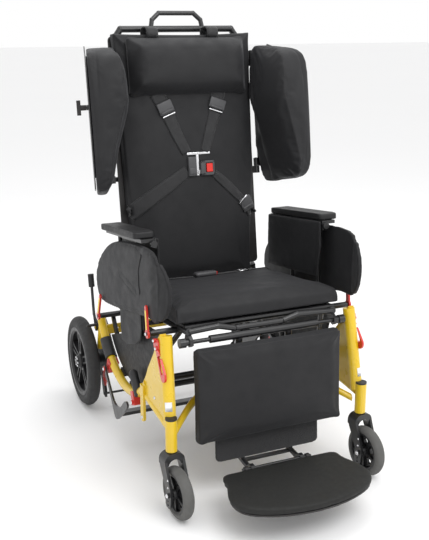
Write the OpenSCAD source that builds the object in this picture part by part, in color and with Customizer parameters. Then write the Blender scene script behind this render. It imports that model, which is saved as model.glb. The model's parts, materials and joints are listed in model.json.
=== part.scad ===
// Positioning wheelchair with a tilting seat, a reclining back, an elevating legrest,
// swing-out head wings and a four-wheeled tubular base. Millimetres, +Z up, the chair
// faces -Y, the occupant's left is +X, and the origin is on the floor below its middle.

/* [Base] */
// Distance between the two caster swivel axes
caster_track = 610; // [590:2:630]
// Distance between the middles of the two rear tyres
wheel_track = 666; // [664:2:680]
// Diameter of the base frame's curved side tubes
side_tube_d = 28; // [26:1:29]
// Outer diameter of the rear tyres
wheel_d = 318; // [310:1:318]
// Width of the rear tyres
tyre_w = 44; // [36:1:44]
// Outer diameter of the casters
caster_d = 152; // [146:1:152]
// How far each caster wheel stands from its swivel axis
caster_trail = 39; // [34:1:42]
// Angle that both casters are turned to at rest
caster_turn = 6; // [-20:1:20]

/* [Seat] */
// Angle of the seat at rest, front edge high
seat_angle = 7.5; // [7:0.25:8]
// Width of the seat cushion
seat_w = 510; // [490:2:512]
// Depth of the seat cushion
seat_d = 458; // [440:2:460]
// Thickness of the seat cushion
seat_t = 58; // [50:1:58]
// Thickness of the padded side panels
side_pad_t = 14; // [10:1:14]

/* [Back] */
// Angle of the back from upright at rest
back_angle = 8.5; // [8:0.25:9]
// Width of the back cushion
back_w = 492; // [470:2:496]
// Length of the back cushion
back_h = 794; // [760:2:796]
// Thickness of the back cushion
back_t = 45; // [38:1:45]
// Greatest thickness of each head wing's padding
wing_t = 117; // [100:1:117]

/* [Legrest] */
// Width of the calf pad
calf_w = 470; // [440:2:474]
// Length of the calf pad
calf_l = 284; // [260:2:288]
// Backward lean of the calf pad from vertical
calf_angle = 3.7; // [2:0.1:5]

/* [Fits] */
// Radial clearance of every pivot, wheel bearing and slide
fit = 0.05; // [0.02:0.01:0.09]
// Gap between pieces that pass each other
gap = 0.5; // [0.4:0.1:1]

/* [Hidden] */
$fn = 48;

// Places in the base: [y, z], or [x, y, z]
tilt_c = [85, 500];
caster_y = -331;
wheel_c = [472, wheel_d / 2];
side_x = 300;
side_arc_r = 289;
side_r = side_tube_d / 2;
head_z = [188, 281];
post_top = [292, -264, 500];
post_foot = [301, -313, 258];
post_r = 18;
pin_r = 6;
stud_r = 5;
clamp_r = 315;
clamp_angles = [-63, -112.3];
pedal_pivot = on_circle(tilt_c, clamp_r, clamp_angles[0]);
pedal_x = [321, 327];
lock_c = [409, 300];
low_bar = [118, 103];

// Places in the seat
seat_o = [190, 519];
skirt_r = 271;
rocker_r = [250, 262];
rocker_x = [262, 274];
front_lever_c = [-209, 491];
rear_lever_c = [284, 386];
lever_x = [322, 328];
rail_x = 228;
rail_w = -75;
post_x = 295;
arm_y = [-97, -266];
legrest_c = [-285, 478];

// Places in the back
back_o = [196, 515];
back_c = [262, 500];
upright_y = 67;
wing_hinge = [262, 62];
wing_splay = 15;
knob_c = [-160, 555];

// Gas struts: base pivot and rod pivot in [x, y, z]
tilt_strut = [[0, 20, 240], [0, -150, 440]];
recline_strut = [[80, -20, 446], [80, 268, 418]];
strut_r = 13;
strut_rod_r = 5;
strut_body_l = 0.62;
strut_eye_r = 8;
strut_pin_r = 4;

function on_circle(c, r, a) = [c[0] + r * cos(a), c[1] + r * sin(a)];
function arc(c, r, a0, a1, n = 24) = [for (i = [0 : n]) on_circle(c, r, a0 + (a1 - a0) * i / n)];
function unit(v) = v / norm(v);
function mid(a, b, t) = a + (b - a) * t;
function mix2(a, p, b, t) = mid(mid(a, p, t), mid(p, b, t), t);
function toward(p, q, r) = p + unit(q - p) * r;

// A path through pts whose corners are rounded back by r along each side
function bend(pts, r, n = 6) = [
    pts[0],
    for (i = [1 : len(pts) - 2], k = [0 : n])
        mix2(toward(pts[i], pts[i - 1], r), pts[i], toward(pts[i], pts[i + 1], r), k / n),
    pts[len(pts) - 1]
];

// A closed outline through pts, with n points between each two
function smooth(pts, n = 6) = let (m = len(pts)) [
    for (i = [0 : m - 1], k = [0 : n - 1])
        let (a = pts[(i + m - 1) % m], b = pts[i], c = pts[(i + 1) % m], d = pts[(i + 2) % m], t = k / n)
            0.5 * (2 * b + (c - a) * t + (2 * a - 5 * b + 4 * c - d) * t * t
                + (3 * b - a - 3 * c + d) * t * t * t)
];

// A round tube swept along a path that lies in the plane whose normal is n
module tube(path, r, n, sides = 20) {
    m = len(path);
    rings = [for (i = [0 : m - 1])
        let (
            t = unit(path[min(i + 1, m - 1)] - path[max(i - 1, 0)]),
            u = unit(n),
            v = cross(t, u)
        ) for (k = [0 : sides - 1]) path[i] + r * (cos(k * 360 / sides) * u + sin(k * 360 / sides) * v)
    ];
    sideways = [for (i = [0 : m - 2], k = [0 : sides - 1])
        [i * sides + k, i * sides + (k + 1) % sides, (i + 1) * sides + (k + 1) % sides, (i + 1)
            * sides + k]];
    ends = [[for (k = [sides - 1 : -1 : 0]) k], [for (k = [0 : sides - 1]) (m - 1) * sides + k]];
    polyhedron(points = rings, faces = concat(sideways, ends));
}

// A straight bar from a to b
module rod(a, b, r) {
    d = b - a;
    translate(a) rotate([0, acos(d[2] / norm(d)), atan2(d[1], d[0])]) cylinder(r = r, h = norm(d));
}

// Straight bars through pts, with a slightly fuller ball at each elbow
module elbow_bar(pts, r) {
    for (i = [0 : len(pts) - 2]) rod(pts[i], pts[i + 1], r);
    for (i = [1 : len(pts) - 2]) translate(pts[i]) sphere(r = r + 0.4);
}

// Children modelled on the +X side, kept there for s = 1 and mirrored for s = -1
module side(s) mirror([s < 0 ? 1 : 0, 0, 0]) children();
module both_sides() for (s = [-1, 1]) side(s) children();

// A plate cut to a (y, z) outline, from x0 to x1
module plate_x(x0, x1) translate([x0, 0, 0]) rotate([90, 0, 90]) linear_extrude(x1 - x0) children();

// A cylinder along X round c = [y, z]
module disc_x(c, r, x0, x1) translate([x0, c[0], c[1]]) rotate([0, 90, 0]) cylinder(r = r, h = x1 - x0);

// A tube along X round c, bored through before anything is joined to it
module bored_disc_x(c, r, bore, x0, x1) difference() {
    disc_x(c, r, x0, x1);
    disc_x(c, bore, x0 - 1, x1 + 1);
}

// A ring segment round the X axis through c, whose section child is drawn in (radius, x)
module arc_x(c, a0, a1) translate([0, c[0], c[1]]) rotate([90, 0, 90]) rotate([0, 0, a0])
    rotate_extrude(angle = a1 - a0) children();

module side_tube_arc(a0, a1, r) arc_x(tilt_c, a0, a1) translate([side_arc_r, side_x]) circle(r = r);
module on_seat() translate([0, seat_o[0], seat_o[1]]) rotate([-seat_angle, 0, 0]) children();
module on_back() translate([0, back_o[0], back_o[1]]) rotate([-back_angle, 0, 0]) children();
module on_wing() on_back() translate([wing_hinge[0], wing_hinge[1], 0]) rotate([0, 0, wing_splay])
    children();
module on_legrest() translate([0, legrest_c[0], legrest_c[1]]) rotate([-calf_angle, 0, 0]) children();
module at_caster(s) translate([s * caster_track / 2, caster_y, 0]) rotate([0, 0, caster_turn]) children();

// ---------------------------------------------------------------- base

gusset = concat(
    [[-264, 506], [-246, 488], [-212, 434]],
    arc(tilt_c, 277, 209, 226, 8),
    [[-98, 284], [-110, 258], [-313, 250]]
);

module side_frame() color("gold") difference() {
    union() {
        side_tube_arc(-139, -29, side_r);
        rod(post_top, post_foot, post_r);
        plate_x(291, 309) polygon(gusset);
        rod([301, -106, 270], [303, -320, 250], 12.5);
        translate([caster_track / 2, caster_y, head_z[0]]) cylinder(r = 16.5, h = head_z[1] - head_z[0]);
        rod([296, 340, 350], [294, 388, 234], 11.5);
        plate_x(309, 317) polygon(concat(arc([-120, 197], 13, 180, 360, 12), [[-107, 300], [-133, 300]]));
        plate_x(286, 297) polygon([[366, 296], [404, 290], [419, 296], [419, 308], [404, 312], [360, 318]]);
        disc_x(lock_c, stud_r, 296, 305);
    }
    translate([caster_track / 2, caster_y, head_z[0] - 1]) cylinder(r = 12, h = 95);
}
module frame_right() side(-1) side_frame();
module frame_left() side(1) side_frame();

cross_path = [[-292, -312, 226], [-205, -236, 275], [-110, -194, 304], [110, -194, 304],
    [205, -236, 275], [292, -312, 226]];
module front_crossmember() color("gold") difference() {
    tube(bend(cross_path, 45), 13, [0, 0.55, 0.835]);
    both_sides() {
        translate([caster_track / 2, caster_y, 150]) cylinder(r = 16.5, h = 160);
        rod(post_top, post_foot + (post_foot - post_top) * 0.3, post_r);
        rod([301, -106, 270], [303, -320, 250], 12.5);
        plate_x(291, 309) polygon(gusset);
    }
}

module rear_crossmember() color("gold") difference() {
    translate([-286, 318, 304.5]) cube([572, 7, 33]);
    both_sides() {
        side_tube_arc(-60, -20, side_r);
        for (x = [120, 250]) translate([x, 317, 321]) rotate([-90, 0, 0]) cylinder(r = 4, h = 9);
    }
}

axle_plate = [[344, 330], [372, 345], [404, 262], [490, 184], [497, 158], [486, 136], [440, 120],
    [414, 44], [392, 40], [388, 60], [404, 118], [350, 170], [300, 218], [296, 262]];
module axle_and_crossbars() color("dimgray") {
    both_sides() {
        difference() {
            union() {
                plate_x(274, 281.9) polygon(axle_plate);
                disc_x(wheel_c, 16, 278, 295);
            }
            disc_x([398, 52], 4, 270, 290);
        }
        disc_x(wheel_c, pin_r, 278, 360);
        disc_x(wheel_c, 11, 357.2, 361);
    }
    disc_x([398, 52], 4, -285, 285);
    difference() {
        union() {
            disc_x([-131, 313], 10, -290.9, 290.9);
            disc_x([20, 220], 10, -290, 290);
        }
        both_sides() side_tube_arc(-141, -29, side_r);
    }
    for (x = [-15, 9]) plate_x(x, x + 6) polygon(concat(arc([20, 240], 10, 0, 180, 12), [[8, 214], [32,
        214]]));
    disc_x([20, 240], strut_pin_r, -15, 15);
}

module headset_caps() color([0.15, 0.12, 0.12]) both_sides() {
    difference() {
        translate([caster_track / 2, caster_y, head_z[1]]) cylinder(r = 16.5, h = 5);
        rod(post_top, post_foot, post_r);
    }
    for (z = [head_z[0], head_z[1] - 16]) translate([caster_track / 2, caster_y, z]) difference() {
        cylinder(r = 12, h = 16);
        translate([0, 0, -1]) cylinder(r = pin_r + fit, h = 18);
    }
}

module foam_grips() color([0.12, 0.12, 0.13]) both_sides() {
    difference() {
        side_tube_arc(-59, -44, side_r + 5.5);
        side_tube_arc(-61, -42, side_r);
    }
    difference() {
        union() {
            rod([306, -62, 240], [306, -14, 292], 13.5);
            translate([306, -14, 292]) sphere(r = 13.9);
        }
        side_tube_arc(-139, -80, side_r);
        plate_x(291, 309) polygon(gusset);
        rod([301, -106, 270], [303, -320, 250], 12.5);
    }
}

// A clamp round the curved side tube, with its bolt below the tube
module tube_clamp(a) {
    difference() {
        translate([0, tilt_c[0], tilt_c[1]]) rotate([a, 0, 0]) translate([284, 281, -13])
            cube([33, 44, 26]);
        side_tube_arc(-139, -29, side_r);
    }
}
loop_top = [-250, 470];
loop_foot = [-300, 398];
module red_brackets() color("red") both_sides() {
    for (a = clamp_angles) tube_clamp(a);
    disc_x(pedal_pivot, stud_r, 316, 329);
    disc_x(pedal_pivot, 8, 327 + gap, 331);
    disc_x(on_circle(tilt_c, clamp_r, clamp_angles[1]), 7, 316, 322);
    difference() {
        plate_x(310.5, 316.5) difference() {
            union() {
                for (p = [loop_top, loop_foot]) translate(p) circle(r = 18);
                polygon([[-265, 460], [-316, 407], [-284, 389], [-235, 481]]);
            }
            translate([-294, 408]) circle(r = 9);
            polygon([[-302, 413], [-286, 403], [-262, 440], [-277, 450]]);
        }
        rod(post_top, post_foot, post_r + fit);
    }
    for (p = [[-244, 482], [-259, 464]]) disc_x(p, 6, 310.5, 321);
    plate_x(281.9, 286.4) difference() {
        polygon(smooth([[372, 168], [392, 150], [396, 112], [384, 92], [366, 100], [362, 140]], 4));
        translate([380, 114]) circle(r = 9);
    }
}

module glide_blocks() color([0.2, 0.2, 0.22]) both_sides() for (a = [-76, -95]) difference() {
    union() {
        arc_x(tilt_c, a - 4, a + 4) translate([rocker_r[1] + gap, 262]) square([16, 15]);
        arc_x(tilt_c, a - 4, a + 4) translate([skirt_r + 1.5, 262]) square([10, 27]);
    }
    side_tube_arc(-139, -29, side_r);
}

// ---------------------------------------------------------------- casters and wheels

leg_outline = [[-20, 166], [17, 166], [12, 150], [-22, 88], [-20, 44], [-27, 36], [-41, 36],
    [-50, 46], [-54, 78], [-50, 96], [-30, 140]];
module fork(s) at_caster(s) color([0.1, 0.1, 0.11]) {
    translate([0, 0, 160]) cylinder(r = pin_r, h = 112);
    translate([0, 0, 180]) cylinder(r = 14, h = 7.4);
    difference() {
        union() {
            for (x = [-31, 23]) plate_x(x, x + 8) polygon(leg_outline);
            translate([0, 17, 0]) rotate([90, 0, 0]) linear_extrude(37)
                polygon(concat(
                    [[-31, 152]],
                    arc([-9, 164], 22, 180, 90, 8),
                    arc([9, 164], 22, 90, 0, 8),
                    [[31, 152], [23, 152]],
                    arc([0, 150], 19, 8, 172, 10),
                    [[-23, 152]]
                ));
        }
        for (z = [58, 46]) disc_x([-36, z], 3, -40, 40);
    }
    disc_x([-caster_trail, caster_d / 2], 4, -34, 34);
    for (x = [-36, 31]) disc_x([-caster_trail, caster_d / 2], 7, x, x + 5);
}
module caster_fork_right() fork(-1);
module caster_fork_left() fork(1);

module on_caster_axle(s) at_caster(s) translate([0, -caster_trail, caster_d / 2]) rotate([0, 90, 0])
    children();
module caster_wheel(s) on_caster_axle(s) color([0.09, 0.09, 0.1]) difference() {
    union() {
        rotate_extrude() polygon([[4 + fit, -20], [13, -20], [15, -12], [15, -4], [47, -4], [50, -14],
            [57, -15], [57, 15], [50, 14], [47, 4], [15, 4], [15, 12], [13, 20], [4 + fit, 20]]);
        for (a = [0 : 72 : 288]) rotate([0, 0, a]) translate([14, -4, -11]) cube([35, 8, 22]);
    }
    for (a = [36 : 72 : 324]) rotate([0, 0, a]) translate([32, 0, -10]) cylinder(r = 9, h = 20);
}
module caster_wheel_right() caster_wheel(-1);
module caster_wheel_left() caster_wheel(1);

module caster_tyre(s) on_caster_axle(s) color([0.33, 0.33, 0.34]) rotate_extrude($fn = 96)
    polygon(concat([[57, -15]], arc([59, 0], caster_d / 2 - 59, -80, -40, 6),
        arc([59, 0], caster_d / 2 - 59, -40, 40, 12), arc([59, 0], caster_d / 2 - 59, 40, 80, 6), [[57,
            15]]));
module caster_tyre_right() caster_tyre(-1);
module caster_tyre_left() caster_tyre(1);

module on_wheel_axle(s) side(s) translate([wheel_track / 2, wheel_c[0], wheel_c[1]]) rotate([0, 90, 0])
    children();
rim_r = 122;
module rear_rim(s) on_wheel_axle(s) color([0.1, 0.1, 0.11]) {
    rotate_extrude($fn = 96) polygon([[pin_r + fit, -37], [20, -37], [26, -22], [26, 15], [20, 23],
        [pin_r + fit, 23]]);
    rotate_extrude($fn = 96) polygon([[106, -13.5], [112, -20], [rim_r, -20], [rim_r, 20], [112, 20],
        [106, 13.5]]);
    for (a = [30 : 72 : 318]) rotate([0, 0, a]) difference() {
        translate([0, 0, -9]) linear_extrude(20) polygon([[20, -13], [60, -12], [109, -20], [109, 20],
            [60, 12], [20, 13]]);
        translate([34, -7, 6]) cube([66, 14, 20]);
        translate([0, 0, -20]) cylinder(r = 25, h = 60);
    }
    for (a = [0 : 60 : 300]) rotate([0, 0, a]) translate([15, 0, 22]) cylinder(r = 3, h = 3.5);
}
module rear_rim_right() rear_rim(-1);
module rear_rim_left() rear_rim(1);

tyre_mid = 138;
module rear_tyre(s) on_wheel_axle(s) color([0.3, 0.3, 0.31]) rotate_extrude($fn = 96)
    polygon(concat([[rim_r, -20]], [for (p = arc([0, 0], 1, -118, 118, 28))
        [tyre_mid + (wheel_d / 2 - tyre_mid) * p[0], tyre_w / 2 * p[1]]], [[rim_r, 20]]));
module rear_tyre_right() rear_tyre(-1);
module rear_tyre_left() rear_tyre(1);

// ---------------------------------------------------------------- pedals and wheel locks

pedal_outline = concat(arc(pedal_pivot, 12, 20, 175, 8),
    smooth([[208, 206], [170, 168], [140, 142], [104, 137], [64, 152], [22, 188], [0, 194], [-4, 178],
        [40, 138], [90, 100], [112, 89], [130, 94], [156, 126], [200, 176], [226, 204]], 3));
module foot_brake_bar() color([0.13, 0.13, 0.14]) {
    both_sides() difference() {
        plate_x(pedal_x[0], pedal_x[1]) polygon(pedal_outline);
        disc_x(pedal_pivot, stud_r + fit, pedal_x[0] - 1, pedal_x[1] + 1);
    }
    plate_x(-pedal_x[0] - 1, pedal_x[0] + 1) translate([low_bar[0] - 13, low_bar[1] - 5]) square([26, 11]);
}

module wheel_lock() {
    color([0.1, 0.1, 0.1]) difference() {
        union() {
            plate_x(297 + gap, 302) polygon(concat(arc(lock_c, 12, 190, 340, 12),
                [[434, 330], [444, 352], [426, 358], [414, 336], [386, 326], [378, 316]]));
            disc_x([388, 318], 5, 298, 338);
            for (d = [-7, 7]) rod([299.7, 431 + d, 338], [299.7, 446 + d, 446], 3);
            rod([299.7, 445, 438], [299.7, 453, 482], 10.5);
        }
        disc_x(lock_c, stud_r + fit, 290, 310);
    }
}
module wheel_lock_right() side(-1) wheel_lock();
module wheel_lock_left() side(1) wheel_lock();

// ---------------------------------------------------------------- seat

skirt = concat(arc(tilt_c, skirt_r, 184.5, 317, 36), [[130, 372], [112, 440], [-181, 479]]);
module side_skirts() color([0.14, 0.14, 0.15]) both_sides() plate_x(278, 283) polygon(skirt);

rear_plate = [[246, 512], [262, 518], [278, 512], [282, 496], [272, 470], [296, 396], [294, 376],
    [276, 374], [262, 392], [222, 426], [170, 436], [170, 452], [236, 452]];
front_lug = [[-262, 504], [-278, 498], [-297, 488], [-299, 472], [-286, 464], [-270, 470], [-256, 482]];
module strut_ears(c, x, top) {
    for (e = [-15, 9]) plate_x(x + e, x + e + 6)
        polygon(concat(arc(c, 9, 180, 360, 12), [[c[0] + 9, top], [c[0] - 9, top]]));
    disc_x(c, strut_pin_r, x - 15, x + 15);
}
module seat_frame() color([0.11, 0.11, 0.12]) difference() {
    union() {
        on_seat() {
            both_sides() rod([rail_x, -462, rail_w], [rail_x, 60, rail_w], 11);
            translate([-236, -456, -seat_t - 7]) cube([472, 448, 6.5]);
            both_sides() for (y = arm_y) {
                translate([post_x, y, -96]) cylinder(r = 7.7, h = 74);
                translate([rail_x, y - 9, -84]) cube([post_x - rail_x, 18, 10]);
            }
        }
        both_sides() {
            plate_x(rail_x - 5, rail_x + 5) polygon(rear_plate);
            plate_x(rail_x - 5, rail_x + 5) polygon(front_lug);
            arc_x(tilt_c, -152, -30) translate([rocker_r[0], rocker_x[0]]) square([12, 12]);
            rod([rail_x, -214, 488], [268, -137, 374], 8);
            rod([rail_x, 90, 460], [268, 86, 248], 8);
            rod([rail_x, 284, 386], [268, 304, 376], 8);
            disc_x(on_circle(tilt_c, 256, 212), 4, rocker_x[0], 278);
            disc_x(on_circle(tilt_c, 256, 270), 4, rocker_x[0], 278);
            disc_x(front_lever_c, stud_r, 310, 331);
            disc_x(rear_lever_c, stud_r, 310, 331);
            disc_x(legrest_c, 13, 243, 261);
            disc_x(legrest_c, 9, rail_x + 4, 244);
        }
        disc_x(front_lever_c, 9, -318, 318);
        disc_x(rear_lever_c, 9, -318, 318);
        disc_x(legrest_c, pin_r, -250, 250);
        disc_x(back_c, pin_r, -rail_x, rail_x);
        disc_x([-150, 486], 8, -rail_x, rail_x);
        disc_x([-20, 472], 8, -rail_x, rail_x);
        strut_ears([-150, 440], 0, 486);
        strut_ears([recline_strut[0][1], recline_strut[0][2]], recline_strut[0][0], 470);
        elbow_bar([[-rail_x, -274, 504], [-140, -277, 510], [-90, -277, 497], [60, -277, 497],
            [110, -277, 510], [rail_x, -274, 504]], 8.5);
    }
    on_seat() both_sides() for (y = arm_y) translate([post_x, y, -92]) cylinder(r = pin_r + fit, h = 80);
}

module seat_cushion() color([0.16, 0.16, 0.17]) on_seat() rotate([90, 0, 90])
    translate([0, 0, -seat_w / 2]) linear_extrude(seat_w)
    polygon(concat([[-4, -seat_t]], [[-4, -6]], [[-12, 0]],
        [for (p = arc([0, 0], 1, 90, 180, 10)) [-seat_d + 34 + 34 * p[0], -24 + 24 * p[1]]],
        [for (p = arc([0, 0], 1, 180, 270, 6)) [-seat_d + 20 + 20 * p[0], -seat_t + 20 + 20 * p[1]]]));

pad_main = [[87, 689], [218, 633], [300, 564], [323, 515], [315, 472], [263, 446], [69, 475],
    [-190, 529], [-262, 545], [-262, 700], [-170, 729]];
pad_front = [[6, 552], [34, 557], [54, 590], [61, 624], [54, 660], [28, 696], [6, 694]];
tongue = [[101, 492], [101, 411], [91, 366], [31, 369], [-47, 397], [-95, 429], [-106, 464], [-106, 534]];
module side_pads() color([0.16, 0.16, 0.17]) both_sides() {
    plate_x(303, 303 + side_pad_t) polygon(smooth(pad_main, 3));
    translate([302.4, -254, 0]) rotate([0, 0, -15]) rotate([90, 0, 0]) rotate([0, 90, 0])
        linear_extrude(side_pad_t) mirror([1, 0]) polygon(smooth(pad_front, 3));
    plate_x(304, 309) polygon(tongue);
}

module belt_run(a, b, w, t) {
    d = b - a;
    translate(a) rotate([0, 0, atan2(d[1], d[0])]) rotate([0, -atan2(d[2], norm([d[0], d[1]])), 0])
        translate([0, -w / 2, 0]) cube([norm(d), w, t]);
}
module lap_belt() color([0.12, 0.12, 0.12]) on_seat() {
    belt_run([-238, -24, 1], [-60, -90, 1], 26, 4);
    translate([-58, -96, 1]) rotate([0, 0, 2]) translate([0, -14, 0]) cube([76, 30, 16]);
    belt_run([22, -92, 1], [92, -88, 1], 26, 4);
    translate([94, -102, 1]) cube([36, 28, 9]);
    belt_run([132, -86, 1], [238, -24, 1], 26, 4);
}

module cam_lever(c, tip) color("red") difference() {
    union() {
        disc_x(c, 13, lever_x[0], lever_x[1]);
        rod([lever_x[0] + 3, c[0], c[1]], [lever_x[0] + 3, tip[0], tip[1]], 2.9);
        plate_x(lever_x[0], lever_x[1]) polygon([c + [-8, 4], c + [8, 4], tip + [7, 0], tip + [0, 7],
            tip + [-7, 0]]);
    }
    disc_x(c, stud_r + fit, lever_x[0] - 1, lever_x[1] + 1);
}
module front_lever_right() side(-1) cam_lever(front_lever_c, [-202, 566]);
module front_lever_left() side(1) cam_lever(front_lever_c, [-202, 566]);
module rear_lever_right() side(-1) cam_lever(rear_lever_c, [252, 464]);
module rear_lever_left() side(1) cam_lever(rear_lever_c, [252, 464]);

// ---------------------------------------------------------------- back

module back_frame() color([0.12, 0.12, 0.13]) {
    on_back() {
        both_sides() {
            rod([205, upright_y, 4], [205, upright_y, 740], 11);
            for (z = [330, 690]) {
                rod([205, upright_y, z], [252, upright_y, z], 8);
                translate([wing_hinge[0], wing_hinge[1], z - 12]) cylinder(r = 11, h = 24);
                translate([246, 55, z - 12]) cube([10, 14, 24]);
                translate([wing_hinge[0], wing_hinge[1], z - 12]) cylinder(r = stud_r, h = 52);
            }
        }
        for (z = [130, 430, 700]) rod([-205, upright_y, z], [205, upright_y, z], 8);
        elbow_bar([[-205, upright_y, 738], [-205, 62, 783], [-192, 60, 801], [192, 60, 801],
            [205, 62, 783], [205, upright_y, 738]], 10.5);
        elbow_bar([[-90, 60, 801], [-84, 60, 830], [-60, 60, 851], [60, 60, 851], [84, 60, 830],
            [90, 60, 801]], 7.5);
    }
    bored_disc_x(back_c, 12, pin_r + fit, -216, 216);
    strut_ears([recline_strut[1][1], recline_strut[1][2]], recline_strut[1][0], 491);
}

module rounded_panel(w, h, r) translate([-w / 2 + r, r]) offset(r = r, $fn = 32) square([w - 2 * r,
    h - 2 * r]);
module upright_panel(w, h, r, y0, y1, z0) translate([0, y1, z0]) rotate([90, 0, 0]) linear_extrude(y1 - y0)
    rounded_panel(w, h, r);

module back_cushion() color([0.16, 0.16, 0.17]) on_back()
    upright_panel(back_w, back_h + 24, 16, 0, back_t, -24);
module back_shell() color([0.1, 0.1, 0.11]) on_back() upright_panel(480, back_h - 30, 14, back_t + 0.5,
    back_t + 5.5, 14);
module head_pillow() color([0.15, 0.15, 0.16]) on_back() upright_panel(400, 178, 20, -62, -4, 588);

module harness() color([0.13, 0.13, 0.14]) on_back() {
    harness_strap([-104, 575], [-26, 408], 34);
    harness_strap([101, 572], [44.5, 408], 34);
    harness_strap([-44, 331], [-214, 218], 50);
    harness_strap([84, 322], [176, 236], 30);
}
module harness_strap(a, b, w) {
    d = b - a;
    translate([a[0], -1, a[1]]) rotate([0, -atan2(d[1], d[0]), 0]) translate([0, -4, -w / 2])
        cube([norm(d), 3, w]);
}
module harness_buckle() color([0.35, 0.35, 0.37]) on_back() difference() {
    union() {
        translate([-20, -19, 322]) cube([34, 18, 66]);
        translate([22, -19, 324]) cube([50, 18, 50]);
        translate([-20, -8, 390]) cube([78, 6, 8]);
        translate([14, -12, 334]) cube([9, 8, 57]);
    }
    translate([42, -25, 336]) cube([22, 16, 28]);
}
module harness_button() color("red") on_back() translate([42 + gap, -21, 336 + gap])
    cube([22 - 2 * gap, 9, 28 - 2 * gap]);

// A head wing in its own frame: U outward and V backward from its hinge, W up the back.
// Its padding is a (V, W) outline, as thick as the (W, share of wing_t) profile says.
wing_outline = [[-20, 733], [-110, 731], [-188, 714], [-222, 676], [-230, 600], [-230, 400],
    [-222, 334], [-188, 298], [-100, 290], [-20, 292], [-18, 440], [-18, 590]];
wing_profile = [[742, 0.74], [705, 0.86], [655, 0.95], [575, 1], [500, 0.81], [425, 0.61],
    [375, 0.5], [325, 0.42], [284, 0.3]];
wing_face = 48;
module wing_pad(s) side(s) color([0.15, 0.15, 0.16]) difference() {
    on_wing() intersection() {
        plate_x(wing_face - wing_t - 2, wing_face) polygon(smooth(wing_outline, 3));
        rotate([90, 0, 0]) linear_extrude(260) polygon(concat(
            [[60, 742]],
            [for (p = wing_profile) [wing_face - wing_t * p[1], p[0]]],
            [[60, 284]]
        ));
    }
    on_back() translate([-1, -2, 200]) cube([250, 64, 620]);
}
module wing_pad_right() wing_pad(-1);
module wing_pad_left() wing_pad(1);

module wing_plate(s) side(s) on_wing() color([0.12, 0.12, 0.13]) difference() {
    union() {
        plate_x(wing_face + 0.5, wing_face + 4) polygon(smooth([[-4, 720], [-104, 718], [-178, 702],
            [-208, 668], [-216, 600], [-216, 404], [-208, 346], [-178, 312], [-96, 306], [-4, 340]], 3));
        translate([4, -8, 340]) cube([wing_face, 4, 380]);
        for (z = [342, 702]) translate([0, 0, z + gap]) cylinder(r = 9, h = 26);
        disc_x(knob_c, 8, wing_face + 3, wing_face + 10);
    }
    for (z = [300, 660]) translate([0, 0, z]) cylinder(r = stud_r + fit, h = 100);
    for (z = [330, 690]) translate([0, 0, z - 12 - gap]) cylinder(r = 12, h = 24 + 2 * gap);
    disc_x(knob_c, 4 + fit, wing_face - 2, wing_face + 14);
}
module wing_plate_right() wing_plate(-1);
module wing_plate_left() wing_plate(1);

module wing_knob(s) side(s) on_wing() color([0.08, 0.08, 0.08]) {
    disc_x(knob_c, 4, wing_face + 1, wing_face + 16);
    disc_x(knob_c, 8, wing_face + 10 + gap, wing_face + 28);
    translate([wing_face + 27, knob_c[0] - 7, knob_c[1] - 22]) cube([12, 14, 44]);
}
module wing_knob_right() wing_knob(-1);
module wing_knob_left() wing_knob(1);

// ---------------------------------------------------------------- legrest

leg_x = 79;
leg_y = 4;
module legrest_frame() color([0.12, 0.12, 0.13]) difference() {
    union() {
        disc_x(legrest_c, 11, -170, 170);
        on_legrest() {
            for (x = [-leg_x, leg_x]) rod([x, leg_y, -9], [x, leg_y, -300], 10);
            for (z = [-40, -72]) rod([-150, 0, z], [150, 0, z], 6);
        }
    }
    disc_x(legrest_c, pin_r + fit, -200, 200);
    on_legrest() for (x = [-leg_x, leg_x]) rod([x, leg_y, -92], [x, leg_y, -320], 6 + fit);
}
module calf_pad() color([0.16, 0.16, 0.17]) on_legrest() upright_panel(calf_w, calf_l, 18, -50, -13,
    -12 - calf_l);
module calf_panel() color([0.07, 0.07, 0.08]) on_legrest() upright_panel(334, 270, 16, -12.5, -6.5, -366);

hinge_foot = [-378, 106];
module foot_slides() color([0.12, 0.12, 0.13]) {
    on_legrest() for (x = [-leg_x, leg_x]) rod([x, leg_y, -160], [x, leg_y, -374], 6);
    both_sides() plate_x(leg_x - 6, leg_x + 6) polygon([[-314, 118], [-296, 118], [-294, 98], [-366, 92],
        [-382, 94], [-388, 106], [-382, 116], [-368, 116], [-352, 104], [-316, 106]]);
    translate([-leg_x, -316, 94]) cube([2 * leg_x, 14, 6]);
    disc_x(hinge_foot, stud_r, -110, 110);
}

foot_outline = [[-165, -392], [0, -396], [165, -392], [186, -440], [208, -500], [206, -548], [176, -586],
    [96, -619], [0, -631], [-96, -619], [-176, -586], [-206, -548], [-208, -500], [-186, -440]];
module footplate_tray() color([0.09, 0.09, 0.1]) difference() {
    union() {
        translate([0, 0, 92]) linear_extrude(5) polygon([for (p = smooth(foot_outline, 4))
            [p[0] * 0.98, -500 + (p[1] + 500) * 0.985]]);
        for (x = [-104, 93]) plate_x(x, x + 11)
            polygon(concat(arc(hinge_foot, 9, 0, 180, 8), [[-387, 97], [-412, 97], [-412, 92], [-369,
                92]]));
    }
    disc_x(hinge_foot, stud_r + fit, -120, 120);
}
module footplate_pad() color([0.13, 0.13, 0.14]) translate([0, 0, 97]) linear_extrude(20)
    polygon([for (p = smooth(foot_outline, 4)) [p[0], min(p[1], -392)]]);

// ---------------------------------------------------------------- armrests

module arm_frame(s) side(s) on_seat() color([0.1, 0.1, 0.11]) {
    for (y = arm_y) translate([post_x, y, -80]) cylinder(r = pin_r, h = 252);
    translate([270, -350, 168]) cube([42, 340, 10]);
    translate([267.5, -352, 150]) cube([5, 344, 28]);
    translate([277, -352, 163]) rotate([90, 0, 0]) cylinder(r = 10, h = 8);
}
module arm_frame_right() arm_frame(-1);
module arm_frame_left() arm_frame(1);

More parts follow.
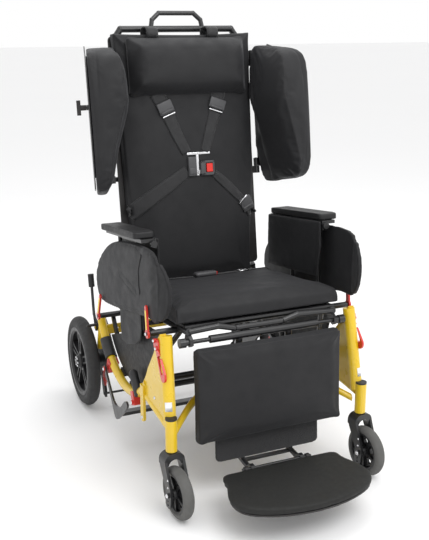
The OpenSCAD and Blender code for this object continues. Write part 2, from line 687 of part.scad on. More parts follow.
module arm_panel(s) side(s) on_seat() color([0.17, 0.17, 0.18]) plate_x(257, 267)
    polygon([[-350, 177], [-346, 100], [-316, 4], [16, 4], [4, 100], [-8, 177]]);
module arm_panel_right() arm_panel(-1);
module arm_panel_left() arm_panel(1);

module arm_pad(s) side(s) on_seat() color([0.2, 0.2, 0.21]) translate([298, 0, 178.5]) linear_extrude(21.5)
    translate([-31, -340]) offset(r = 12, $fn = 32) translate([12, 12]) square([38, 311]);
module arm_pad_right() arm_pad(-1);
module arm_pad_left() arm_pad(1);

// ---------------------------------------------------------------- gas struts

module along(a, b) {
    d = b - a;
    translate(a) rotate([0, acos(d[2] / norm(d)), atan2(d[1], d[0])]) children();
}
module strut_cylinder(ends) {
    l = norm(ends[1] - ends[0]) * strut_body_l;
    along(ends[0], ends[1]) color([0.2, 0.2, 0.21]) difference() {
        union() {
            translate([0, 0, 14]) cylinder(r = strut_r, h = l - 14);
            rotate([90, 0, 0]) translate([0, 0, -7]) cylinder(r = 9, h = 14);
            translate([-8, -7, 0]) cube([16, 14, 20]);
        }
        rotate([90, 0, 0]) translate([0, 0, -10]) cylinder(r = strut_pin_r + fit, h = 20);
        translate([0, 0, 20]) cylinder(r = strut_rod_r + fit, h = l);
    }
}
module strut_rod(ends, start) {
    l = norm(ends[1] - ends[0]);
    along(ends[0], ends[1]) color([0.75, 0.75, 0.77]) difference() {
        union() {
            translate([0, 0, start]) cylinder(r = strut_rod_r, h = l - 10 - start);
            rotate([90, 0, 0]) translate([0, l, -7]) cylinder(r = 12, h = 14);
        }
        rotate([90, 0, 0]) translate([0, l, -10]) cylinder(r = strut_eye_r, h = 20);
    }
}
module tilt_cylinder() strut_cylinder(tilt_strut);
module tilt_rod() strut_rod(tilt_strut, 42);
module recline_cylinder() strut_cylinder(recline_strut);
module recline_rod() strut_rod(recline_strut, 62);

frame_right();
frame_left();
front_crossmember();
rear_crossmember();
axle_and_crossbars();
headset_caps();
foam_grips();
red_brackets();
glide_blocks();
caster_fork_right();
caster_fork_left();
caster_wheel_right();
caster_wheel_left();
caster_tyre_right();
caster_tyre_left();
rear_rim_right();
rear_rim_left();
rear_tyre_right();
rear_tyre_left();
foot_brake_bar();
wheel_lock_right();
wheel_lock_left();
seat_frame();
seat_cushion();
side_skirts();
side_pads();
lap_belt();
front_lever_right();
front_lever_left();
rear_lever_right();
rear_lever_left();
back_frame();
back_shell();
back_cushion();
head_pillow();
harness();
harness_buckle();
harness_button();
legrest_frame();
calf_pad();
calf_panel();
foot_slides();
footplate_tray();
footplate_pad();
arm_frame_right();
arm_frame_left();
arm_panel_right();
arm_panel_left();
arm_pad_right();
arm_pad_left();
wing_pad_right();
wing_pad_left();
wing_plate_right();
wing_plate_left();
wing_knob_right();
wing_knob_left();
tilt_cylinder();
tilt_rod();
recline_cylinder();
recline_rod();
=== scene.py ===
import json
import math
import random

import bmesh
import bpy
import numpy as np
from mathutils import Matrix, Vector
from mathutils.bvhtree import BVHTree


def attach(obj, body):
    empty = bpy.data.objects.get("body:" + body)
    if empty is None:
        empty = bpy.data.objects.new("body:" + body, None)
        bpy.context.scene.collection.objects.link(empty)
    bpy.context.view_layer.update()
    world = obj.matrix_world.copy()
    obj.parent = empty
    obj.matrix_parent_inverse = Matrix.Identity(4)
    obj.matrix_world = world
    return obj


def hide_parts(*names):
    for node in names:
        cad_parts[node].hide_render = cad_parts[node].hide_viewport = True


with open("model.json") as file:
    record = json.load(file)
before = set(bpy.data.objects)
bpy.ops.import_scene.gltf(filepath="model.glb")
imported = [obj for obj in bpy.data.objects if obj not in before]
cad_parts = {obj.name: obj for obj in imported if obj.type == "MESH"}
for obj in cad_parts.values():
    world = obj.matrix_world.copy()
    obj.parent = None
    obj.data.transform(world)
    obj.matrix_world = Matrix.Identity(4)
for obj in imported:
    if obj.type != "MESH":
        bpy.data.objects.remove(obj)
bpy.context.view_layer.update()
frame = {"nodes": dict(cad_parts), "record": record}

MM = 0.001
SIDES = ((-1, "right"), (1, "left"))
scene = bpy.context.scene
NODES = frame["nodes"]

# ------------------------------------------------------------------ camera, floor and light
CAMERA_AT = (-1.0604, -2.3469, 1.3322)
CAMERA_AZIMUTH, CAMERA_ELEVATION = -23.70, 16.244
CAMERA_LENS, SENSOR = 57.63, 36.0
FLOOR_HALF = 40
FLOOR_DROP = 0.0005

camera = bpy.data.objects.new("camera", bpy.data.cameras.new("camera"))
scene.collection.objects.link(camera)
az, el = math.radians(CAMERA_AZIMUTH), math.radians(CAMERA_ELEVATION)
look = Vector((-math.sin(az) * math.cos(el), math.cos(az) * math.cos(el), -math.sin(el)))
camera.location = CAMERA_AT
camera.rotation_mode = "QUATERNION"
camera.rotation_quaternion = look.to_track_quat("-Z", "Y")
camera.data.lens, camera.data.sensor_width = CAMERA_LENS, SENSOR
camera.data.clip_start, camera.data.clip_end = 0.05, 60
scene.camera = camera
scene.view_settings.view_transform = "Standard"

world = bpy.data.worlds.new("studio")
world.use_nodes = True
world.node_tree.nodes["Background"].inputs[0].default_value = (1, 1, 1, 1)
world.node_tree.nodes["Background"].inputs[1].default_value = 1.0
scene.world = world


def area_light(name, at, aim, size, power):
    """A square soft box at a point, aimed at another."""
    data = bpy.data.lights.new(name, "AREA")
    data.shape, data.size, data.energy = "SQUARE", size, power
    light = bpy.data.objects.new(name, data)
    light.location = at
    light.rotation_mode = "QUATERNION"
    light.rotation_quaternion = (Vector(aim) - Vector(at)).to_track_quat("-Z", "Y")
    scene.collection.objects.link(light)


area_light("key", (0.4, -2.6, 3.6), (0, 0, 0.7), 2.2, 64)
area_light("fill", (2.4, -1.8, 2.4), (0, 0, 0.6), 2.2, 12)
area_light("top", (0.2, 0.6, 3.6), (0, 0, 0.4), 2.6, 30)


# ------------------------------------------------------------------ materials
class Shader:
    """One node material: object coordinates in metres, noise, waves and a chain of bumps."""

    def __init__(self, name, colour, rough, metallic=0.0, specular=0.5):
        self.mat = bpy.data.materials.new(name)
        self.mat.use_nodes = True
        self.nt = self.mat.node_tree
        self.bsdf = self.nt.nodes["Principled BSDF"]
        self.set("Base Color", (*colour, 1))
        self.set("Roughness", rough)
        self.set("Metallic", metallic)
        self.set("Specular IOR Level", specular)
        self.place = self.node("ShaderNodeTexCoord").outputs["Object"]
        self.normal = None
        self.colour = colour
        self.mat.diffuse_color = (*colour, 1)

    def set(self, socket, value):
        self.bsdf.inputs[socket].default_value = value

    def node(self, kind):
        return self.nt.nodes.new(kind)

    def link(self, a, b):
        self.nt.links.new(a, b)

    def scaled(self, scale, turn=(0, 0, 0)):
        m = self.node("ShaderNodeMapping")
        m.inputs["Scale"].default_value = scale
        m.inputs["Rotation"].default_value = turn
        self.link(self.place, m.inputs["Vector"])
        return m.outputs["Vector"]

    def noise(self, scale, detail=3.0, rough=0.5, stretch=None):
        n = self.node("ShaderNodeTexNoise")
        n.inputs["Scale"].default_value = scale
        n.inputs["Detail"].default_value = detail
        n.inputs["Roughness"].default_value = rough
        self.link(self.scaled(stretch) if stretch else self.place, n.inputs["Vector"])
        return n.outputs["Fac"]

    def wave(self, scale, turn):
        w = self.node("ShaderNodeTexWave")
        w.wave_profile = "SIN"
        w.inputs["Scale"].default_value = scale
        w.inputs["Distortion"].default_value = 0
        self.link(self.scaled((1, 1, 1), turn), w.inputs["Vector"])
        return w.outputs["Fac"]

    def cells(self, scale):
        v = self.node("ShaderNodeTexVoronoi")
        v.inputs["Scale"].default_value = scale
        self.link(self.place, v.inputs["Vector"])
        return v.outputs["Distance"]

    def math(self, operation, a, b):
        m = self.node("ShaderNodeMath")
        m.operation = operation
        for socket, value in zip(m.inputs, (a, b)):
            if isinstance(value, (int, float)):
                socket.default_value = value
            else:
                self.link(value, socket)
        return m.outputs[0]

    def ramp(self, source, low, high, into):
        """Maps the middle of a 0..1 source to low..high on one of the shader's sockets."""
        r = self.node("ShaderNodeMapRange")
        for socket, value in (("From Min", 0.3), ("From Max", 0.7), ("To Min", low), ("To Max", high)):
            r.inputs[socket].default_value = value
        self.link(source, r.inputs["Value"])
        self.link(r.outputs[0], self.bsdf.inputs[into])

    def vary(self, source, other):
        """Mixes the base colour with another by a source."""
        m = self.node("ShaderNodeMix")
        m.data_type = "RGBA"
        ends = {"A": self.colour, "B": other}
        for socket in m.inputs:
            if socket.type == "RGBA":
                socket.default_value = (*ends[socket.name], 1)
        self.link(source, m.inputs["Factor"])
        out = [o for o in m.outputs if o.type == "RGBA"][0]
        self.link(out, self.bsdf.inputs["Base Color"])

    def bump(self, height, strength, distance):
        b = self.node("ShaderNodeBump")
        b.inputs["Strength"].default_value = strength
        b.inputs["Distance"].default_value = distance
        self.link(height, b.inputs["Height"])
        if self.normal is not None:
            self.link(self.normal, b.inputs["Normal"])
        self.normal = b.outputs["Normal"]
        self.link(self.normal, self.bsdf.inputs["Normal"])
        return self

    def eased(self, radius):
        """Rounds the look of the hard edges by a small radius."""
        b = self.node("ShaderNodeBevel")
        b.samples = 4
        b.inputs["Radius"].default_value = radius
        self.normal = b.outputs["Normal"]
        self.link(self.normal, self.bsdf.inputs["Normal"])
        return self


def stretch_cover(name, colour=(0.0112, 0.0112, 0.0122), sheen=0.1):
    s = Shader(name, colour, 0.6, specular=0.3)
    s.set("Sheen Weight", sheen)
    s.set("Sheen Roughness", 0.45)
    s.set("Sheen Tint", (0.75, 0.76, 0.8, 1))
    s.vary(s.noise(9, 4), tuple(c * 1.42 for c in colour))
    s.ramp(s.noise(24, 3), 0.54, 0.7, "Roughness")
    s.bump(s.noise(14, 2), 0.35, 0.0012)
    ribs = s.math("MULTIPLY", s.wave(430, (0, 0, 0.785)), s.wave(430, (0.785, 0, -0.785)))
    s.bump(ribs, 0.16, 0.0004)
    s.bump(s.cells(1500), 0.12, 0.0003)
    return s.mat


def painted(name, colour, rough, coat):
    flake = 0.0006
    s = Shader(name, colour, rough, specular=0.5)
    s.set("Coat Weight", coat)
    s.set("Coat Roughness", 0.12)
    s.vary(s.noise(6, 4), tuple(c * 0.86 for c in colour))
    s.ramp(s.noise(40, 3), rough - 0.05, rough + 0.09, "Roughness")
    s.eased(0.0011)
    s.bump(s.noise(520, 2), 0.12, flake)
    s.bump(s.noise(90, 2), 0.08, flake)
    return s.mat


def moulded(name, colour, rough=0.5, grain=0.2, specular=0.42):
    s = Shader(name, colour, rough, specular=specular)
    s.vary(s.noise(12, 4), tuple(min(1, c * 1.35) for c in colour))
    s.ramp(s.noise(60, 3), rough - 0.06, rough + 0.1, "Roughness")
    s.eased(0.0009)
    s.bump(s.cells(950), grain, 0.0004)
    s.bump(s.noise(180, 3), grain * 0.6, 0.0005)
    return s.mat


def tread_rubber(name, colour):
    rough = 0.72
    s = Shader(name, colour, rough, specular=0.32)
    s.vary(s.noise(30, 5, 0.65), tuple(min(1, c * 1.6) for c in colour))
    s.ramp(s.noise(80, 4), rough - 0.1, rough + 0.12, "Roughness")
    s.bump(s.noise(420, 3, 0.6), 0.3, 0.0005)
    s.bump(s.noise(60, 2), 0.12, 0.0008)
    return s.mat


def bare_metal(name, colour, rough=0.28, grain=(1, 1, 40)):
    s = Shader(name, colour, rough, metallic=1.0)
    s.vary(s.noise(20, 4), tuple(c * 0.78 for c in colour))
    s.ramp(s.noise(70, 4, 0.6, grain), rough - 0.08, rough + 0.12, "Roughness")
    s.eased(0.0006)
    s.bump(s.noise(160, 2, 0.5, grain), 0.08, 0.0003)
    return s.mat


def webbing(name, colour=(0.0135, 0.0135, 0.0145)):
    s = Shader(name, colour, 0.5, specular=0.4)
    s.set("Sheen Weight", 0.25)
    s.set("Sheen Roughness", 0.35)
    s.vary(s.noise(120, 3), tuple(c * 1.9 for c in colour))
    s.ramp(s.noise(35, 3), 0.4, 0.62, "Roughness")
    twill = s.math("MULTIPLY", s.wave(300, (0, 0.62, 0)), s.wave(300, (0, -0.95, 0)))
    s.bump(twill, 0.5, 0.0007)
    s.bump(s.cells(1300), 0.2, 0.0003)
    return s.mat


def needle_felt(name, colour=(0.0065, 0.0065, 0.0072)):
    s = Shader(name, colour, 0.95, specular=0.12)
    s.set("Sheen Weight", 0.18)
    s.set("Sheen Roughness", 0.7)
    s.vary(s.noise(260, 5, 0.75), tuple(c * 3.2 for c in colour))
    s.ramp(s.noise(90, 3), 0.86, 1.0, "Roughness")
    s.bump(s.noise(340, 6, 0.8), 1.0, 0.0022)
    s.bump(s.cells(420), 0.6, 0.0012)
    return s.mat


M = {
    "cover": stretch_cover("stretch_cover"),
    "flap": stretch_cover("flap_cover", (0.0085, 0.0085, 0.0093), 0.07),
    "thread": webbing("thread", (0.008, 0.008, 0.0085)),
    "piping": moulded("piping", (0.014, 0.014, 0.015), 0.42),
    "yellow_paint": painted("yellow_paint", (0.76, 0.51, 0.012), 0.3, 0.35),
    "black_paint": painted("black_paint", (0.0105, 0.0105, 0.0115), 0.34, 0.3),
    "red_paint": painted("red_paint", (0.62, 0.022, 0.012), 0.32, 0.4),
    "cap_plastic": moulded("cap_plastic", (0.016, 0.0145, 0.0145), 0.45),
    "foam": moulded("foam", (0.0175, 0.0175, 0.019), 0.5, 0.5, 0.5),
    "wheel_black": moulded("wheel_black", (0.008, 0.008, 0.0088), 0.36, 0.12, 0.5),
    "caster_tyre": tread_rubber("caster_tyre", (0.082, 0.081, 0.078)),
    "rear_tyre": tread_rubber("rear_tyre", (0.028, 0.028, 0.0285)),
    "lock_black": moulded("lock_black", (0.012, 0.012, 0.013), 0.44),
    "skirt_black": moulded("skirt_black", (0.0125, 0.0125, 0.0135), 0.55, 0.3, 0.3),
    "webbing": webbing("webbing"),
    "buckle_grey": moulded("buckle_grey", (0.055, 0.055, 0.058), 0.42, 0.15),
    "button_red": moulded("button_red", (0.62, 0.02, 0.012), 0.24, 0.03, 0.55),
    "carpet": needle_felt("needle_felt"),
    "arm_pad": moulded("arm_pad", (0.0125, 0.0125, 0.0133), 0.48, 0.3, 0.32),
    "foot_pad": moulded("foot_pad", (0.0128, 0.013, 0.0122), 0.62, 0.45, 0.28),
    "zinc": bare_metal("zinc", (0.58, 0.58, 0.6)),
    "chrome": bare_metal("chrome", (0.86, 0.86, 0.88), 0.12, (1, 1, 1)),
    "label": moulded("label", (0.8, 0.8, 0.8), 0.35, 0.03),
    "strip_yellow": moulded("strip_yellow", (0.86, 0.68, 0.1), 0.3, 0.03),
}
M["upholstery"] = M["cover"]


def stage_floor():
    s = Shader("paper_floor", (0.9, 0.9, 0.905), 0.85, specular=0.1)
    s.vary(s.noise(0.6, 2), (0.915, 0.915, 0.915))
    s.bump(s.noise(60, 2), 0.02, 0.0005)
    me = bpy.data.meshes.new("floor")
    corners = [(x * FLOOR_HALF, y * FLOOR_HALF, 0) for x, y in ((-1, -1), (1, -1), (1, 1), (-1, 1))]
    me.from_pydata(corners, [], [(0, 1, 2, 3)])
    floor = bpy.data.objects.new("floor", me)
    me.materials.append(s.mat)
    floor.location.z = -FLOOR_DROP
    scene.collection.objects.link(floor)


stage_floor()

for row in frame["record"]["subparts"]:
    o = NODES[row["node"]]
    o.data.materials.clear()
    o.data.materials.append(M[row["material_slot"]])


# ------------------------------------------------------------------ mesh tools
def placed(origin_mm, lean):
    """The matrix of a frame that leans about X, at a point given in millimetres."""
    return Matrix.Translation(Vector(origin_mm) * MM) @ Matrix.Rotation(math.radians(lean), 4, "X")


WORLD = Matrix.Identity(4)
SEAT = placed((0, 190, 519), -7.5)
BACK = placed((0, 196, 515), -8.5)
LEG = placed((0, -285, 478), -3.7)


def points_of(me, what="co"):
    a = np.empty(len(me.vertices) * 3)
    me.vertices.foreach_get(what, a)
    return a.reshape(-1, 3)


def normals_of(me):
    return points_of(me, "normal")


def move_points(me, co):
    me.vertices.foreach_set("co", np.ascontiguousarray(co, float).ravel())
    me.update()


def new_object(name, me):
    o = bpy.data.objects.new(name, me)
    scene.collection.objects.link(o)
    return o


def baked(o):
    """Replaces an object's mesh with what its modifiers make of it."""
    me = bpy.data.meshes.new_from_object(o.evaluated_get(bpy.context.evaluated_depsgraph_get()))
    old = o.data
    o.modifiers.clear()
    o.data = me
    bpy.data.meshes.remove(old)
    return o


def finished(o, body, mat, local=WORLD, slot=None, stands_for=(), fill=None):
    """Puts a piece made in a local frame in place, gives it its material and hangs it on its body."""
    o.data.transform(local)
    o.data.materials.clear()
    o.data.materials.append(M[mat])
    for poly in o.data.polygons:
        poly.use_smooth = True
    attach(o, body)
    if stands_for:
        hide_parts(*stands_for)
    return o


def cad_copy(node, name, local, keep=None):
    """A copy of a CAD node's mesh in a local frame. keep picks one side of it."""
    me = NODES[node].data.copy()
    me.transform(local.inverted())
    bm = bmesh.new()
    bm.from_mesh(me)
    bmesh.ops.remove_doubles(bm, verts=bm.verts, dist=1e-5)
    if keep:
        bmesh.ops.delete(bm, geom=[v for v in bm.verts if not keep(v.co)], context="VERTS")
    bm.to_mesh(me)
    bm.free()
    return new_object(name, me)


def remeshed(o, voxel, rounding):
    """Rebuilds a mesh from even voxels and smooths it a number of times."""
    m = o.modifiers.new("remesh", "REMESH")
    m.mode, m.voxel_size = "VOXEL", voxel
    r = o.modifiers.new("round", "SMOOTH")
    r.factor, r.iterations = 0.5, rounding
    return baked(o)


def inflated(o, pressure, cap, pinned):
    """Blows the closed mesh up as cloth, holds the pinned points, and caps how far any point may go."""
    frames = 20
    rest = points_of(o.data)
    held = [int(i) for i in np.nonzero(pinned(rest))[0]]
    if held:
        group = o.vertex_groups.new(name="held")
        group.add(held, 1.0, "REPLACE")
    cloth = o.modifiers.new("cloth", "CLOTH")
    s = cloth.settings
    s.quality = 4
    s.use_pressure, s.uniform_pressure_force = True, pressure
    s.effector_weights.gravity = 0
    s.bending_stiffness = 0.3
    cloth.collision_settings.use_collision = False
    if held:
        s.vertex_group_mass = "held"
    cloth.point_cache.frame_start, cloth.point_cache.frame_end = 1, frames
    for f in range(1, frames + 1):
        scene.frame_set(f)
    e = o.evaluated_get(bpy.context.evaluated_depsgraph_get())
    moved = points_of(e.to_mesh()) - rest
    e.to_mesh_clear()
    o.modifiers.clear()
    o.vertex_groups.clear()
    scene.frame_set(1)
    far = np.linalg.norm(moved, axis=1)
    far[far < 1e-9] = 1e-9
    move_points(o.data, rest + moved * (cap * np.tanh(far / cap) / far)[:, None])
    return o


def subdivided(o):
    o.modifiers.new("subdivision", "SUBSURF").levels = 1
    return baked(o)


def line_distance(co, line):
    """Each point's distance to a polyline."""
    best = np.full(len(co), 1e9)
    for a, b in zip(line[:-1], line[1:]):
        a, b = np.array(a, float), np.array(b, float)
        d = b - a
        t = np.clip(((co - a) @ d) / max(d @ d, 1e-12), 0, 1)
        best = np.minimum(best, np.linalg.norm(co - (a + t[:, None] * d), axis=1))
    return best


def grooved(o, lines, depth, width):
    """Presses sewn channels into the surface along polylines, in metres."""
    co, nor = points_of(o.data), normals_of(o.data)
    press = np.zeros(len(co))
    for line in lines:
        press = np.maximum(press, np.exp(-((line_distance(co, line) / width) ** 2)))
    move_points(o.data, co - nor * (press * depth)[:, None])
    return o


def surface_tree(o):
    return BVHTree.FromPolygons([v.co for v in o.data.vertices], [p.vertices for p in o.data.polygons])


def snapped(o, line, step, lift):
    """Points every step along a polyline, put on the mesh's surface, with the surface normals."""
    tree = surface_tree(o)
    line = [Vector(p) for p in line]
    out, carry = [], 0.0
    for a, b in zip(line[:-1], line[1:]):
        length = (b - a).length
        t = carry
        while t < length:
            p = a.lerp(b, t / length)
            hit, n, _, _ = tree.find_nearest(p)
            out.append((hit + n * lift, n))
            t += step
        carry = t - length
    return out


def tube_mesh(name, path, r, closed=False):
    """A tube along points, with eight sides."""
    sides = 8
    n = len(path)
    verts, faces = [], []
    for i, p in enumerate(path):
        if closed:
            t = (path[(i + 1) % n] - path[i - 1]).normalized()
        else:
            t = (path[min(i + 1, n - 1)] - path[max(i - 1, 0)]).normalized()
        up = Vector((0, 0, 1)) if abs(t.z) < 0.9 else Vector((0, 1, 0))
        u = (up - t * up.dot(t)).normalized()
        v = t.cross(u)
        for k in range(sides):
            a = 2 * math.pi * k / sides
            verts.append(p + u * (r * math.cos(a)) + v * (r * math.sin(a)))
    spans = n if closed else n - 1
    for i in range(spans):
        for k in range(sides):
            a, b = i * sides + k, i * sides + (k + 1) % sides
            c, d = ((i + 1) % n) * sides + (k + 1) % sides, ((i + 1) % n) * sides + k
            faces.append((a, b, c, d))
    if not closed:
        faces.append(tuple(reversed(range(sides))))
        faces.append(tuple(range((n - 1) * sides, n * sides)))
    me = bpy.data.meshes.new(name)
    me.from_pydata(verts, [], faces)
    me.update()
    bm = bmesh.new()
    bm.from_mesh(me)
    bmesh.ops.recalc_face_normals(bm, faces=bm.faces)
    bm.to_mesh(me)
    bm.free()
    return me


def stitched(name, o, lines, body, local=WORLD):
    """Rows of thread stitches lying on a finished piece, along polylines in the local frame."""
    length, pitch, r = 0.0034, 0.0052, 0.00042
    bm = bmesh.new()
    for line in lines:
        spots = snapped(o, [local @ Vector(p) for p in line], pitch, r * 0.6)
        for (a, na), (b, _) in zip(spots[:-1], spots[1:]):
            d = (b - a).normalized()
            side = d.cross(na).normalized()
            half = d * (length / 2)
            upper = [(na + side).normalized() * r, (na - side).normalized() * r]
            ring = [na * r, upper[0], side * r, -side * r, upper[1]]
            rows = []
            for along, scale in ((-1, 0.35), (-0.8, 1), (0.8, 1), (1, 0.35)):
                rows.append([bm.verts.new(a + half * along + v * scale) for v in ring])
            strip_faces(bm, rows)
    bmesh.ops.recalc_face_normals(bm, faces=bm.faces)
    me = bpy.data.meshes.new(name)
    bm.to_mesh(me)
    bm.free()
    return finished(new_object(name, me), body, "thread")


def rounded_box(lo, hi, r, segments=3):
    """A bmesh box from lo to hi with rounded edges."""
    bm = bmesh.new()
    bmesh.ops.create_cube(bm, size=1)
    lo, hi = Vector(lo), Vector(hi)
    for v in bm.verts:
        v.co = Vector((lo[i] + (v.co[i] + 0.5) * (hi[i] - lo[i]) for i in range(3)))
    bmesh.ops.bevel(bm, geom=bm.edges[:], offset=r, segments=segments, profile=0.5, affect="EDGES")
    return bm


def joined(name, bms):
    """One mesh object from several bmeshes."""
    whole = bmesh.new()
    for bm in bms:
        me = bpy.data.meshes.new("part")
        bm.to_mesh(me)
        bm.free()
        whole.from_mesh(me)
        bpy.data.meshes.remove(me)
    bmesh.ops.recalc_face_normals(whole, faces=whole.faces)
    me = bpy.data.meshes.new(name)
    whole.to_mesh(me)
    whole.free()
    return new_object(name, me)


def turned(bm, matrix):
    bmesh.ops.transform(bm, matrix=matrix, verts=bm.verts)
    return bm


def lathe(profile, matrix, sides):
    """A bmesh turned about Z from (radius, height) pairs, as a closed loop, then put in place."""
    bm = bmesh.new()
    rings = []
    for k in range(sides):
        a = 2 * math.pi * k / sides
        rings.append([bm.verts.new((r * math.cos(a), r * math.sin(a), h)) for r, h in profile])
    n = len(profile)
    for k in range(sides):
        p, q = rings[k], rings[(k + 1) % sides]
        for i in range(n):
            j = (i + 1) % n
            bm.faces.new((p[i], q[i], q[j], p[j]))
    bmesh.ops.remove_doubles(bm, verts=bm.verts, dist=1e-7)
    bmesh.ops.recalc_face_normals(bm, faces=bm.faces)
    return turned(bm, matrix)


def facing(at, axis):
    """The matrix that puts +Z along axis at a point in metres."""
    return Matrix.Translation(Vector(at)) @ Vector(axis).to_track_quat("Z", "Y").to_matrix().to_4x4()


def bolt(at, axis, r, h=0.003):
    """A button-head screw with a round socket, on a washer."""
    profile = [(0, 0.45), (0.42, 0.45), (0.5, 1), (0.78, 0.86), (0.97, 0.45), (1, 0), (1.25, 0),
               (1.25, -0.25), (0, -0.25)]
    return lathe([(a * r, b * h) for a, b in profile], facing(at, axis), 24)


def mirrored(points):
    return [(-p[0], p[1], p[2]) for p in points]


def mirrored_mesh(me):
    me = me.copy()
    me.transform(Matrix.Scale(-1, 4, (1, 0, 0)))
    me.flip_normals()
    return me


def mirrored_object(o, name, body, mat, **facts):
    """The other side's piece, from a finished one."""
    return finished(new_object(name, mirrored_mesh(o.data)), body, mat, **facts)


def strip_faces(bm, rows):
    """Joins rings of vertices into a closed strip with capped ends."""
    count = len(rows[0])
    for p, q in zip(rows[:-1], rows[1:]):
        for k in range(count):
            bm.faces.new((p[k], p[(k + 1) % count], q[(k + 1) % count], q[k]))
    bm.faces.new(list(reversed(rows[0])))
    bm.faces.new(rows[-1])


# ------------------------------------------------------------------ cushions and pads
def smooth_loop(pts, n=8):
    """A closed smooth outline through points, as the CAD draws it."""
    m, out = len(pts), []
    for i in range(m):
        a, b, c, d = (np.array(pts[(i + k) % m], float) for k in (-1, 0, 1, 2))
        for k in range(n):
            t = k / n
            out.append(0.5 * (2 * b + (c - a) * t + (2 * a - 5 * b + 4 * c - d) * t * t
                              + (3 * b - a - 3 * c + d) * t ** 3))
    return out


def shrunk(o, by):
    """Draws the surface in along its normals, so that the pad has room to swell."""
    move_points(o.data, points_of(o.data) - normals_of(o.data) * by)


def wrinkled(o, height, scale, seed):
    """Moves the surface along its normals by a soft repeatable wobble."""
    co, nor = points_of(o.data), normals_of(o.data)
    move_points(o.data, co + nor * (height * local_noise(co, scale, seed))[:, None])


def piped(name, o, line, body, step, lift, r):
    """A cord of piping that lies on a piece along a polyline."""
    spots = snapped(o, line, step, lift)
    me = tube_mesh("cord", [p for p, _ in spots], r)
    finished(new_object(name, me), body, "piping")


def local_noise(co, scale, seed):
    """A smooth repeatable wobble, -1 to 1, from a few sine waves."""
    rng = random.Random(seed)
    total = np.zeros(len(co))
    for _ in range(7):
        k = np.array([rng.uniform(-1, 1) for _ in range(3)]) * scale
        total += np.sin(co @ k * 6.283 + rng.uniform(0, 6.283)) * rng.uniform(0.5, 1)
    return total / 5.25


def seat_cushion():
    """The crowned seat cushion, with folded front corners and a seam down each side."""
    half_w, half_d, mid_y, thick = 0.255, 0.227, 0.231, 0.03
    underside = -0.052
    o = remeshed(cad_copy("seat_cushion", "seat_cushion_cover", SEAT), 0.0068, 7)
    co, nor = points_of(o.data), normals_of(o.data)
    x, y, z = co[:, 0], co[:, 1], co[:, 2]
    u, v = x / half_w, (y + mid_y) / half_d
    top = np.clip((z + thick) / thick, 0, 1)
    crown = (1 - u ** 4) * (1 - v ** 4)
    co[:, 2] += top * (0.006 * crown - 0.004)
    co[:, 0] *= 1 - 0.012 * (1 - v ** 2)
    co[:, 0] *= 1 + 0.028 * np.clip((-0.30 - y) / 0.15, 0, 1)
    front = np.clip((-0.40 - y) / 0.05, 0, 1)
    co[:, 2] -= front * top * 0.003 * np.clip(np.abs(u) ** 3, 0, 1)
    co -= nor * 0.002
    move_points(o.data, co)
    inflated(o, 4.0, 0.008, lambda p: p[:, 2] < underside)
    subdivided(o)
    co, nor = points_of(o.data), normals_of(o.data)
    co += nor * (0.0009 * local_noise(co, 7, 3))[:, None]
    corner = [(0.25, -0.447, -0.006), (0.243, -0.455, -0.03), (0.236, -0.45, -0.056)]
    for line in (mirrored(corner), corner):
        fold = line_distance(co, line)
        co -= nor * (0.004 * np.exp(-((fold / 0.007) ** 2)))[:, None]
    move_points(o.data, co)
    side_seam = [(0.2505, -0.02, -0.012), (0.2515, -0.22, -0.011), (0.257, -0.43, -0.013)]
    corner_seam = [(0.255, -0.445, -0.012), (0.248, -0.453, -0.034), (0.243, -0.45, -0.055)]
    seams = [mirrored(side_seam), side_seam, mirrored(corner_seam), corner_seam]
    grooved(o, seams, 0.0018, 0.0034)
    finished(o, "seat", "cover", SEAT, "upholstery", ["seat_cushion"], 0.7)
    stitches = [(0.2465, -0.02, -0.004), (0.2475, -0.22, -0.003), (0.253, -0.42, -0.005)]
    stitched("seat_cushion_stitches", o, [mirrored(stitches), stitches], "seat", local=SEAT)
    return o


BACK_HALF_W = 0.246


def back_half_width(z):
    """The tall cushion narrows towards its foot."""
    return np.interp(z, (0.02, 0.134, 0.236, 0.43, 0.794), (0.208, 0.215, 0.227, 0.237, BACK_HALF_W))


def back_edge(inset, y):
    """A line up the back cushion's left edge, a little way in from it."""
    heights = [z * MM for z in range(-10, 790, 40)]
    return [(float(back_half_width(z)) - inset, y, z) for z in heights]


def back_cushion():
    """The tall back cushion, with two seams down each side."""
    mid_z, half_h, rear = 0.385, 0.409, 0.039
    o = remeshed(cad_copy("back_cushion", "back_cushion_cover", BACK), 0.0075, 5)
    co, nor = points_of(o.data), normals_of(o.data)
    u, w = co[:, 0] / BACK_HALF_W, (co[:, 2] - mid_z) / half_h
    co[:, 0] *= back_half_width(co[:, 2]) / BACK_HALF_W
    front = np.clip((0.03 - co[:, 1]) / 0.03, 0, 1)
    co[:, 1] -= front * (0.007 * (1 - u ** 4) * (1 - w ** 6) - 0.005)
    co[:, 2] -= 0.006 * np.clip(co[:, 2] - 0.74, 0, 1) / 0.05 * (1 - u ** 2)
    co -= nor * 0.002
    move_points(o.data, co)
    inflated(o, 4.0, 0.009, lambda p: p[:, 1] > rear)
    subdivided(o)
    wrinkled(o, 0.0011, 5, 5)
    side, front_seam = back_edge(0.002, 0.0365), back_edge(0.006, 0.006)
    grooved(o, [mirrored(side), side, mirrored(front_seam), front_seam], 0.002, 0.0034)
    finished(o, "back", "cover", BACK, "upholstery", ["back_cushion"], 0.65)
    return o


